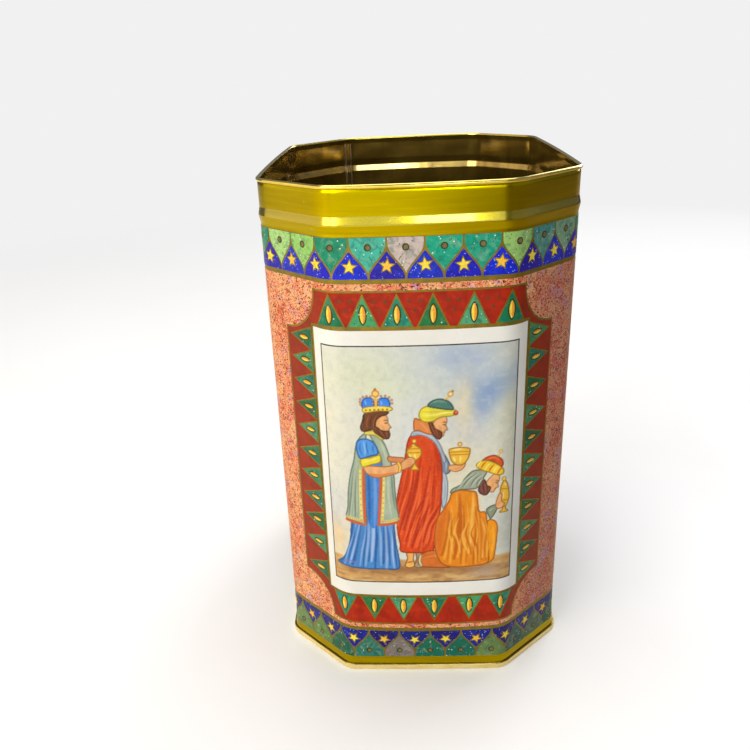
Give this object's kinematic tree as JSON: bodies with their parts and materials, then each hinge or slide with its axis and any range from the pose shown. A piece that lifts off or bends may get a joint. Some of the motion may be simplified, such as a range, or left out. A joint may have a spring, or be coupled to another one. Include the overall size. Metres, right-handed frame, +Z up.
{
  "type": "spice tin",
  "caption": "Tall open octagonal tinplate canister with a printed wall, plain gold neck, rolled rim, flared foot and a pressed bottom held by a double seam.",
  "frame": {"origin": "centre of the footprint, on the plane the bottom seam rests on", "axes": "+Z up through the open mouth; -Y out of the front panel, a narrow panel that carries the picture; +X to the right of the front panel"},
  "size_m": [0.1236, 0.1704, 0.2074],
  "materials": {
    "printed_tinplate": "glossy lithographed tinplate: coral, red, green, blue and gold borders, gold neck, brown-gold lacquer inside",
    "gold_lacquered_tinplate": "glossy transparent gold lacquer over tinplate"
  },
  "bodies": {
    "root": {"body_shell": "printed_tinplate", "base_end": "gold_lacquered_tinplate"}
  },
  "joints": []
}
